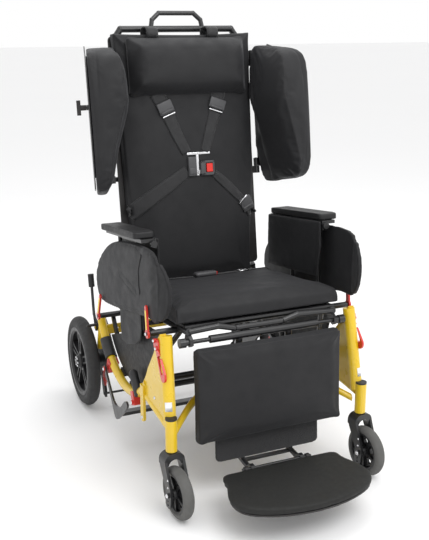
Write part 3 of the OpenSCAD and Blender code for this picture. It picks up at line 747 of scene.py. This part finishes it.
def head_pillow():
    """The head pillow: a bulge with flat pointed corners, and piping at both ends."""
    half_w, half_h, mid_z, rear = 0.2, 0.089, 0.677, -0.012
    o = remeshed(cad_copy("head_pillow", "head_pillow_cover", BACK), 0.006, 6)
    co, nor = points_of(o.data), normals_of(o.data)
    u, w = co[:, 0] / half_w, (co[:, 2] - mid_z) / half_h
    edge = np.minimum(half_w - np.abs(co[:, 0]), half_h - np.abs(co[:, 2] - mid_z))
    t = np.clip(edge / 0.034, 0, 1)
    depth = 0.16 + 0.84 * t * t * (3 - 2 * t)
    co[:, 1] = -0.0055 + (co[:, 1] + 0.0045) * depth
    ear = np.clip(np.abs(u) - 0.8, 0, 1) / 0.2 * np.clip(np.abs(w) - 0.7, 0, 1) / 0.3
    co[:, 0] += np.sign(u) * 0.006 * ear
    co[:, 2] += np.sign(w) * 0.008 * ear
    co -= nor * 0.0015
    move_points(o.data, co)
    inflated(o, 4.0, 0.007, lambda p: p[:, 1] > rear)
    subdivided(o)
    wrinkled(o, 0.0007, 8, 11)
    edge = [(0.2015, -0.011, 0.594), (0.1965, -0.011, mid_z), (0.2015, -0.011, 0.761)]
    seam = [(0.190, -0.018, 0.598), (0.188, -0.02, mid_z), (0.190, -0.018, 0.756)]
    grooved(o, [mirrored(seam), seam], 0.0018, 0.0034)
    finished(o, "back", "cover", BACK, "upholstery", ["head_pillow"], 0.6)
    for n, line in enumerate((mirrored(edge), edge)):
        piped(f"head_pillow_piping_{n}", o, [BACK @ Vector(p) for p in line], "back", 0.004, 0.0008, 0.0022)


WING = BACK @ Matrix.Translation((0.262, 0.062, 0)) @ Matrix.Rotation(math.radians(15), 4, "Z")
WING_OUTLINE = [(-20, 733), (-110, 731), (-188, 714), (-222, 676), (-230, 600), (-230, 400),
                (-222, 334), (-188, 298), (-100, 290), (-20, 292), (-18, 440), (-18, 590)]
WING_MID = 515


def wing_inner(w):
    """Where the wing's inner face stands, over its height in millimetres."""
    outer, thick = 48, 117
    return outer - thick * np.interp(w, (284, 325, 375, 425, 500, 575, 655, 705, 742),
                                     (0.3, 0.42, 0.5, 0.61, 0.81, 1, 0.95, 0.86, 0.74))


def wing_line(loop, place, scale, foremost):
    """A seam round the part of the wing's outline that lies before a place, drawn in a little."""
    return [(place(p[1]), p[0] * scale * MM, (WING_MID + (p[1] - WING_MID) * scale) * MM)
            for p in loop if p[0] < foremost]


def wings():
    """The two wing pads: the left one is shaped, then mirrored."""
    o = remeshed(cad_copy("wing_pad_left", "wing_cover_left", WING), 0.006, 7)
    shrunk(o, 0.003)
    inflated(o, 4.0, 0.008, lambda p: (p[:, 0] > 0.041) | (p[:, 1] > -0.06))
    subdivided(o)
    wrinkled(o, 0.0009, 8, 17)
    loop = smooth_loop(WING_OUTLINE, 6)
    loop.append(loop[0])
    inner = wing_line(loop, lambda w: (wing_inner(w) + 5) * MM, 0.985, -90)
    outer = [wing_line(loop, lambda w: x, 0.99, -60) for x in (0.020, 0.0445)]
    grooved(o, outer + [inner], 0.0022, 0.0034)
    finished(o, "wing_left", "cover", WING, "upholstery", ["wing_pad_left"], 0.7)
    right = mirrored_object(o, "wing_cover_right", "wing_right", "cover", slot="upholstery",
                            stands_for=["wing_pad_right"], fill=0.7)
    line = [WING @ Vector((p[0] + 0.004, p[1], p[2])) for p in inner]
    stitched("wing_stitches_left", o, [line], "wing_left")
    stitched("wing_stitches_right", right, [mirrored(line)], "wing_right")


def calf_pad():
    """The calf pad, with a seam down each side."""
    half_w, half_h, mid_z, rear = 0.235, 0.142, 0.154, -0.019
    o = remeshed(cad_copy("calf_pad", "calf_pad_cover", LEG), 0.0062, 5)
    co, nor = points_of(o.data), normals_of(o.data)
    u, w = co[:, 0] / half_w, (co[:, 2] + mid_z) / half_h
    front = np.clip((-0.03 - co[:, 1]) / 0.02, 0, 1)
    co[:, 1] -= front * (0.004 * (1 - u ** 4) * (1 - w ** 4) - 0.003)
    co[:, 0] *= 1 - 0.01 * (1 - w ** 2)
    co[:, 2] = -mid_z + (co[:, 2] + mid_z) * (1 - 0.012 * (1 - u ** 2))
    co -= nor * 0.002
    move_points(o.data, co)
    inflated(o, 3.5, 0.006, lambda p: p[:, 1] > rear)
    subdivided(o)
    wrinkled(o, 0.0009, 6, 23)
    rim = [(0.2315, -0.0185, -0.03), (0.2295, -0.0185, -mid_z), (0.2315, -0.0185, -0.28)]
    grooved(o, [rim, mirrored(rim)], 0.002, 0.0034)
    finished(o, "legrest", "cover", LEG, "upholstery", ["calf_pad"], 0.6)


def side_pads():
    """Both side panels are one piece: the left one is shaped, then mirrored."""
    face, inner, foot = 0.318, 0.3045, 0.47
    o = remeshed(cad_copy("side_pads", "side_pad_covers", WORLD, lambda v: v.x > 0), 0.0036, 4)
    shrunk(o, 0.0008)
    inflated(o, 3.0, 0.0035, lambda p: (p[:, 0] < inner) | (p[:, 2] < foot))
    wrinkled(o, 0.0007, 9, 29)
    zip_line = [(face, -0.155, 0.704), (face, -0.125, 0.653), (face, -0.126, 0.609), (face, -0.137, 0.580)]
    hem = [(face, 0.10, 0.49), (face, -0.02, 0.507), (face, -0.13, 0.53), (face, -0.2, 0.548)]
    top = [(face, 0.13, 0.672), (face, 0.0, 0.70), (face, -0.1, 0.712), (face, -0.155, 0.704)]
    patch = [(face, 0.055, 0.606), (face, -0.1, 0.588), (face, -0.104, 0.566), (face, 0.052, 0.585)]
    patch.append(patch[0])
    grooved(o, [zip_line, hem, patch, top], 0.0014, 0.0028)
    right_half = mirrored_mesh(o.data)
    bm = bmesh.new()
    bm.from_mesh(o.data)
    bm.from_mesh(right_half)
    bm.to_mesh(o.data)
    bm.free()
    bpy.data.meshes.remove(right_half)
    finished(o, "seat", "flap", WORLD, "upholstery", ["side_pads"], 0.5)
    rows = [hem, mirrored(hem), patch, mirrored(patch), top, mirrored(top)]
    stitched("side_pad_stitches", o, rows, "seat")
    for name, line in (("left", zip_line), ("right", mirrored(zip_line))):
        piped(f"side_pad_zip_{name}", o, line, "seat", 0.005, 0.0012, 0.0021)


def arm_panels():
    """The flat padded panels inside the armrests, with a seam round the inner face."""
    half_d, mid_z, half_h, inner = 0.17, 0.09, 0.087, 0.262
    o = remeshed(cad_copy("arm_panel_left", "arm_panel_cover_left", SEAT), 0.004, 4)
    co, nor = points_of(o.data), normals_of(o.data)
    u, w = (co[:, 1] + half_d) / half_d, (co[:, 2] - mid_z) / half_h
    co[:, 0] -= 0.0025 * np.clip((1 - u ** 4) * (1 - w ** 4), 0, 1) * (co[:, 0] < inner)
    co += nor * (0.0008 * local_noise(co, 7, 31))[:, None]
    move_points(o.data, co)
    rim = [(-0.344, 170), (-0.338, 100), (-0.309, 10), (0.009, 10), (-0.003, 100), (-0.014, 170)]
    line = [(0.257, p[0], p[1] * MM) for p in rim]
    grooved(o, [line], 0.0016, 0.003)
    finished(o, "arm_left", "flap", SEAT, "upholstery", ["arm_panel_left"], 0.4)
    right = mirrored_object(o, "arm_panel_cover_right", "arm_right", "flap", slot="upholstery",
                            stands_for=["arm_panel_right"], fill=0.4)
    stitched("arm_panel_stitches_left", o, [line], "arm_left", local=SEAT)
    stitched("arm_panel_stitches_right", right, [mirrored(line)], "arm_right", local=SEAT)


def arm_pads():
    """The moulded armrest pads, dished a little along the top."""
    mid_x, half_w, mid_y, half_d, deck = 0.298, 0.031, 0.1725, 0.1675, 0.188
    o = remeshed(cad_copy("arm_pad_left", "arm_pad_skin_left", SEAT), 0.003, 5)
    co = points_of(o.data)
    u, v = (co[:, 0] - mid_x) / half_w, (co[:, 1] + mid_y) / half_d
    top = np.clip((co[:, 2] - deck) / 0.01, 0, 1)
    co[:, 2] -= top * 0.0032 * np.clip(1 - u ** 2, 0, 1) * np.clip(1 - v ** 8, 0, 1)
    co[:, 2] -= top * 0.0025 * np.clip(np.abs(v) - 0.85, 0, 1) / 0.15
    move_points(o.data, co)
    subdivided(o)
    finished(o, "arm_left", "arm_pad", SEAT, "arm_pad", ["arm_pad_left"], 0.9)
    mirrored_object(o, "arm_pad_skin_right", "arm_right", "arm_pad", slot="arm_pad",
                    stands_for=["arm_pad_right"], fill=0.9)


def foot_pad():
    """The footplate's pad, a little higher in the middle."""
    half_w, mid_y, half_d, deck = 0.2, 0.505, 0.115, 0.108
    o = remeshed(cad_copy("footplate_pad", "foot_pad_skin", WORLD), 0.0042, 6)
    co, nor = points_of(o.data), normals_of(o.data)
    top = np.clip((co[:, 2] - deck) / 0.008, 0, 1)
    reach = np.hypot(co[:, 0] / half_w, (co[:, 1] + mid_y) / half_d)
    co[:, 2] += top * 0.002 * np.clip(1 - reach ** 2, -1, 1)
    co += nor * (0.0007 * local_noise(co, 9, 37))[:, None]
    move_points(o.data, co)
    finished(o, "footplate", "foot_pad", WORLD, "foot_pad", ["footplate_pad"], 0.9)


def calf_board():
    """The felt-covered board behind and below the calf pad."""
    o = remeshed(cad_copy("calf_panel", "calf_board_felt", LEG), 0.003, 1)
    co, nor = points_of(o.data), normals_of(o.data)
    co += nor * (0.0004 * local_noise(co, 60, 41) + 0.0003 * local_noise(co, 140, 43))[:, None]
    move_points(o.data, co)
    finished(o, "footrest", "carpet", LEG, "carpet", ["calf_panel"])


# ------------------------------------------------------------------ straps, buckles and belts
class Surface:
    """A finished cushion's surface, looked up from in front along a local direction."""

    def __init__(self, o, local, down):
        self.tree = surface_tree(o)
        self.local, self.down = local, Vector(down)
        self.up = -(local.to_3x3() @ self.down).normalized()
        self.across = (0, 2) if abs(self.down.y) > 0.5 else (0, 1)

    def at(self, a, b):
        """The world point of the surface under plane place (a, b), in metres."""
        p = Vector((0, 0, 0))
        p[self.across[0]], p[self.across[1]] = a, b
        world = self.local @ (p - self.down * 0.2)
        hit, _, _, _ = self.tree.ray_cast(world, -self.up)
        return hit if hit else self.local @ p

    def frame(self, a, b, towards, lift):
        """A matrix at a place: X along the surface towards another place, Z off the surface."""
        x = (self.at(*towards) - self.at(a, b)).normalized()
        z = (self.up - x * self.up.dot(x)).normalized()
        m = Matrix((x, z.cross(x), z)).transposed().to_4x4()
        m.translation = self.at(a, b) + self.up * lift
        return m


def band(surface, pts, widths, lift=0.0009, fold=0.0):
    """A webbing strap lying on a surface, through plane places in millimetres.

    fold is how far one lengthwise fold stands up.
    """
    thick, across, step, reach = 0.0017, 6, 0.006, 0.012
    pts = [np.array(p, float) * MM for p in pts]
    along = np.concatenate([[0], np.cumsum([np.linalg.norm(b - a) for a, b in zip(pts[:-1], pts[1:])])])
    n = max(3, int(along[-1] / step))

    def place(d):
        return np.array([np.interp(d, along, [p[k] for p in pts]) for k in (0, 1)])

    bm = bmesh.new()
    rows = []
    for i in range(n + 1):
        d = along[-1] * i / n
        c, c0, c1 = place(d), place(max(d - reach, 0)), place(min(d + reach, along[-1]))
        t = (c1 - c0) / max(np.linalg.norm(c1 - c0), 1e-9)
        side = np.array([-t[1], t[0]])
        w = np.interp(d, along, widths) * MM
        top, bottom = [], []
        for j in range(across + 1):
            f = j / across - 0.5
            q = c + side * w * f
            raised = lift + fold * math.exp(-((f - 0.12) / 0.16) ** 2) * (0.5 + 0.5 * math.sin(i * 0.45))
            base = surface.at(q[0], q[1])
            top.append(base + surface.up * (raised + thick))
            bottom.append(base + surface.up * max(raised - 0.0004, 0.0002))
        rows.append([bm.verts.new(v) for v in top + bottom[::-1]])
    strip_faces(bm, rows)
    return bm


def block(surface, a, b, towards, size, r, lift=0.0):
    """A moulded block lying on a surface, long side towards another place."""
    lx, ly, lz = (v * MM for v in size)
    bm = rounded_box((-lx / 2, -ly / 2, 0), (lx / 2, ly / 2, lz), r)
    m = surface.frame(a * MM, b * MM, (towards[0] * MM, towards[1] * MM), lift)
    return turned(bm, m)


def harness(cushion):
    """The chest harness: webbing, adjusters, buckle shell and bright parts."""
    front = Surface(cushion, BACK, (0, 1, 0))
    straps = [
        band(front, [(-111, 596), (-85, 546), (-52, 466), (-21, 402)], (50, 44, 38, 33), fold=0.0016),
        band(front, [(103, 594), (96, 554), (66, 470), (43, 402)], (50, 42, 36, 31), fold=0.0016),
        band(front, [(-22, 342), (-90, 300), (-160, 258), (-222, 216)], (38, 46, 50, 50), fold=0.0008),
        band(front, [(70, 332), (110, 296), (150, 256), (176, 232)], (26, 32, 30, 28), fold=0.0024),
        band(front, [(196, 210), (209, 184)], (30, 30)),
        band(front, [(-90, 560), (-74, 522)], (40, 38), lift=0.004),
    ]
    webs = joined("harness_webbing", straps)
    finished(webs, "back", "webbing", WORLD, "webbing", ["harness"])
    adjusters = [
        block(front, -85, 548, (-66, 500), (40, 52, 8), 0.0028, 0.0012),
        block(front, 96, 554, (80, 508), (34, 56, 8), 0.0028, 0.0012),
        block(front, 187, 222, (200, 196), (48, 44, 10), 0.003, 0.001),
        block(front, -81, 536, (-66, 500), (8, 44, 11), 0.0024, 0.0012),
        block(front, 92, 542, (80, 508), (8, 46, 11), 0.0024, 0.0012),
        block(front, 192, 212, (200, 196), (9, 40, 13), 0.0024, 0.001),
    ]
    finished(joined("harness_adjusters", adjusters), "back", "buckle_grey", WORLD, "buckle_grey")
    box = [
        rounded_box((-0.020, -0.019, 0.325), (0.009, -0.003, 0.388), 0.0035),
        rounded_box((-0.018, -0.021, 0.331), (0.007, -0.005, 0.352), 0.003),
        rounded_box((0.0225, -0.019, 0.3245), (0.0415, -0.002, 0.3735), 0.003),
        rounded_box((0.0645, -0.019, 0.3245), (0.072, -0.002, 0.3735), 0.003),
        rounded_box((0.0225, -0.019, 0.3245), (0.072, -0.002, 0.3355), 0.003),
        rounded_box((0.0225, -0.019, 0.3645), (0.072, -0.002, 0.3735), 0.003),
        rounded_box((0.0245, -0.0085, 0.3265), (0.070, -0.001, 0.3715), 0.002),
    ]
    finished(joined("harness_buckle_shell", box), "back", "buckle_grey", BACK, "buckle_grey",
             ["harness_buckle"])
    bright = [
        rounded_box((-0.021, -0.0125, 0.394), (0.060, -0.0095, 0.402), 0.0012),
        rounded_box((0.010, -0.0125, 0.326), (0.019, -0.0095, 0.399), 0.0012),
        rounded_box((0.009, -0.0125, 0.330), (0.026, -0.0095, 0.344), 0.0012),
    ]
    bright = [turned(bm, BACK) for bm in bright]
    bright += [
        block(front, 172, 236, (187, 222), (6, 40, 7), 0.0012, 0.003),
        block(front, -75, 524, (-66, 500), (4, 46, 6), 0.001, 0.003),
        block(front, 88, 532, (80, 508), (4, 48, 6), 0.001, 0.003),
    ]
    finished(joined("harness_bright_parts", bright), "back", "chrome")


def pillow_straps():
    """Two straps carry the pillow over the cushion's top edge."""
    path = [(-6, 764), (-9, 778), (-8, 792), (6, 801), (24, 803), (42, 801), (52, 790), (54, 770)]
    section = ((-19, 1), (-9, 1.25), (9, 1.25), (19, 1), (19, -1), (-19, -1))
    half_thick = 1.1
    bms = []
    for x in (-110, 96):
        bm = bmesh.new()
        rows = []
        for i, (y, z) in enumerate(path):
            ya, za = path[max(i - 1, 0)]
            yb, zb = path[min(i + 1, len(path) - 1)]
            d = np.array([yb - ya, zb - za], float)
            d /= np.linalg.norm(d)
            n = np.array([-d[1], d[0]]) * half_thick
            ring = []
            for sx, sn in section:
                ring.append(bm.verts.new(BACK @ (Vector((x + sx, y + n[0] * sn, z + n[1] * sn)) * MM)))
            rows.append(ring)
        strip_faces(bm, rows)
        bms.append(bm)
    finished(joined("pillow_straps", bms), "back", "webbing")


def lap_belt(cushion):
    """The lap belt lies on the seat, with its buckle, release button and two links."""
    top = Surface(cushion, SEAT, (0, 0, -1))
    straps = [
        band(top, [(-240, -20), (-176, -44), (-110, -74), (-60, -92)], (26, 26, 25, 22), fold=0.0016),
        band(top, [(16, -94), (52, -92), (96, -88)], (20, 25, 22), fold=0.0012),
        band(top, [(126, -86), (180, -58), (240, -22)], (22, 25, 26), fold=0.0016),
    ]
    finished(joined("lap_belt_webbing", straps), "seat", "webbing", WORLD, "webbing", ["lap_belt"])
    shell = [
        block(top, -20, -95, (30, -93), (74, 30, 15), 0.0062),
        block(top, -44, -95, (30, -93), (18, 22, 13), 0.005),
    ]
    finished(joined("lap_belt_buckle", shell), "seat", "buckle_grey", WORLD, "buckle_grey")
    release = block(top, 16, -94, (40, -93), (6, 20, 11), 0.0015, 0.001)
    finished(joined("lap_belt_release", [release]), "seat", "button_red", WORLD, "button_red")
    links = []
    belt_y = -88
    for a, b, w in ((100, 122, 24), (112, 132, 18)):
        ring = [(a, belt_y - w / 2), (b, belt_y - w / 2), (b, belt_y + w / 2), (a, belt_y + w / 2)]
        path = [top.at(p[0] * MM, p[1] * MM) + top.up * 0.004 for p in smooth_loop(ring, 5)]
        bm = bmesh.new()
        bm.from_mesh(tube_mesh("link", path, 0.0018, closed=True))
        links.append(bm)
    finished(joined("lap_belt_links", links), "seat", "chrome")


# ------------------------------------------------------------------ tyres, bolts and labels
TILT_AXIS = (0.085, 0.5)
REAR_WHEEL_X = 0.333
REAR_AXLE = (0.472, 0.159)
CASTER_PIVOT = (0.305, -0.331)
CASTER_AXLE = (-0.039, 0.076)
CASTER_TURN = 6
LYING = Matrix.Rotation(math.radians(90), 4, "Y")


def caster_frame(s):
    """The frame of a caster's fork: its origin is on the stem's axis, at floor height."""
    x, y = CASTER_PIVOT
    return Matrix.Translation((s * x, y, 0)) @ Matrix.Rotation(math.radians(CASTER_TURN), 4, "Z")


def tread_profile(bead, centre_r, half, arc, steps, grooves, groove_depth, groove_width):
    """A tyre's section: a round band with fine grooves in its tread, closed at the bead.

    bead is the bead's radius and half width, and half the section's half width and half height.
    """
    profile = [(bead[0], -bead[1])]
    for i in range(steps + 1):
        a = math.radians(-arc + 2 * arc * i / steps)
        x = half[0] * math.sin(a)
        r = centre_r + half[1] * math.cos(a)
        if math.cos(a) > 0:
            for g in grooves:
                r -= groove_depth * math.exp(-(((x - g) / groove_width) ** 2))
        profile.append((r, x))
    profile.append(bead)
    return profile


def tyres():
    """Fine grooves run round each tyre's tread."""
    caster = tread_profile((0.0569, 0.0149), 0.059, (0.017, 0.017), 86, 60,
                           (-0.0085, -0.0055, -0.0025, 0.0025, 0.0055, 0.0085), 0.0009, 0.0005)
    rear = tread_profile((0.1219, 0.0199), 0.138, (0.0219, 0.0209), 118, 80,
                         (-0.014, -0.0105, -0.006, -0.002, 0.002, 0.006, 0.0105, 0.014), 0.0012, 0.0006)
    for s, side in SIDES:
        at = caster_frame(s) @ Matrix.Translation((0, *CASTER_AXLE)) @ LYING
        finished(joined(f"caster_tread_{side}", [lathe(caster, at, 96)]), f"caster_roller_{side}",
                 "caster_tyre", WORLD, "caster_tyre", [f"caster_tyre_{side}"])
        at = Matrix.Translation((s * REAR_WHEEL_X, *REAR_AXLE)) @ LYING
        finished(joined(f"rear_tread_{side}", [lathe(rear, at, 128)]), f"rear_wheel_{side}",
                 "rear_tyre", WORLD, "rear_tyre", [f"rear_tyre_{side}"])


def on_tilt_circle(r, degrees):
    """The Y and Z of a place at a radius and angle about the tilt axis."""
    a = math.radians(degrees)
    y, z = TILT_AXIS
    return y + r * math.cos(a), z + r * math.sin(a)


def hub_bolts(s, side):
    """Six screws round each rear hub, and the ring of the axle's push button."""
    pitch_r = 0.015
    y, z = REAR_AXLE
    angles = [math.radians(60 * k) for k in range(6)]
    spots = [(s * 0.3585, y + pitch_r * math.cos(a), z + pitch_r * math.sin(a)) for a in angles]
    hub = [bolt(spot, (s, 0, 0), 0.0034, 0.002) for spot in spots]
    ring = [(0.0085, 0.0), (0.0085, 0.002), (0.0115, 0.002), (0.0115, 0.0)]
    hub.append(lathe(ring, facing((s * 0.3562, y, z), (s, 0, 0)), 32))
    finished(joined(f"hub_bolts_{side}", hub), f"rear_wheel_{side}", "chrome")


def caster_bolts(s, side):
    """The axle bolt's two heads, and two small screws in each fork leg."""
    turn = caster_frame(s)
    made = [turned(bolt((w * 0.0362, *CASTER_AXLE), (w, 0, 0), 0.0052, 0.0034), turn) for w in (-1, 1)]
    made += [turned(bolt((w * 0.0311, -0.036, z), (w, 0, 0), 0.0026, 0.0016), turn)
             for w in (-1, 1) for z in (0.098, 0.12)]
    finished(joined(f"caster_bolts_{side}", made), f"caster_swivel_{side}", "chrome")


def frame_bolts(s, side):
    """The side frame's bolts. Each spot is a place on the left side and a head radius."""
    glide_r = 0.315
    spots = [(0.331, *on_tilt_circle(glide_r, -63), 0.0052),
             (0.322, *on_tilt_circle(glide_r, -112.3), 0.0048),
             (0.321, -0.244, 0.482, 0.004), (0.321, -0.259, 0.464, 0.004),
             (0.309, -0.212, 0.296, 0.0045), (0.309, -0.285, 0.330, 0.004),
             (0.317, -0.120, 0.197, 0.0044), (0.302, 0.409, 0.300, 0.0044)]
    made = [bolt((s * x, y, z), (s, 0, 0), r) for x, y, z, r in spots]
    finished(joined(f"frame_bolts_{side}", made), "base", "chrome")


def lever_bolts(s, side):
    for where, place in (("front", (-0.209, 0.491)), ("rear", (0.284, 0.386))):
        made = bolt((s * 0.331, *place), (s, 0, 0), 0.0042, 0.0028)
        finished(joined(f"lever_bolt_{where}_{side}", [made]), "seat", "chrome")


def lever_strips(s, side):
    """A yellow strip runs along each red cam lever, between two places in millimetres."""
    half_thick, half_w = 0.0006, 0.0034
    for where, a, b in (("front", (-209, 503), (-203, 558)), ("rear", (280, 398), (255, 456))):
        d = Vector((0, b[0] - a[0], b[1] - a[1]))
        half = Vector((half_thick, half_w, d.length * MM / 2))
        m = Matrix.Translation(Vector((s * 328.3, (a[0] + b[0]) / 2, (a[1] + b[1]) / 2)) * MM)
        m = m @ Matrix.Rotation(math.atan2(-d.y, d.z), 4, "X")
        strip = turned(rounded_box(-half, half, 0.0004, 2), m)
        finished(joined(f"lever_strip_{where}_{side}", [strip]), f"cam_{where}_{side}", "strip_yellow")


def bolts():
    for s, side in SIDES:
        hub_bolts(s, side)
        caster_bolts(s, side)
        frame_bolts(s, side)
        lever_bolts(s, side)
        lever_strips(s, side)


def post_labels():
    """A blank white label is wrapped round the front of each front post."""
    top, foot = Vector((292, -264, 500)) * MM, Vector((301, -313, 258)) * MM
    inner_r, outer_r, half_h, half_arc, steps = 0.0181, 0.0184, 0.013, 34, 8
    d = (top - foot).normalized()
    c = foot + d * 0.052
    outward = Vector((0.45, -0.9, 0))
    u = (outward - d * outward.dot(d)).normalized()
    v = d.cross(u)
    for s, side in SIDES:
        bm = bmesh.new()
        rows = []
        for i in range(steps + 1):
            a = math.radians(-half_arc + 2 * half_arc * i / steps)
            row = []
            for r, h in ((inner_r, -half_h), (inner_r, half_h), (outer_r, half_h), (outer_r, -half_h)):
                p = c + d * h + u * (r * math.cos(a)) + v * (r * math.sin(a))
                row.append(bm.verts.new((s * p.x, p.y, p.z)))
            rows.append(row)
        strip_faces(bm, rows)
        finished(joined(f"post_label_{side}", [bm]), "base", "label")


seat_top = seat_cushion()
back_front = back_cushion()
head_pillow()
wings()
calf_pad()
side_pads()
arm_panels()
arm_pads()
foot_pad()
calf_board()
harness(back_front)
pillow_straps()
lap_belt(seat_top)
tyres()
bolts()
post_labels()
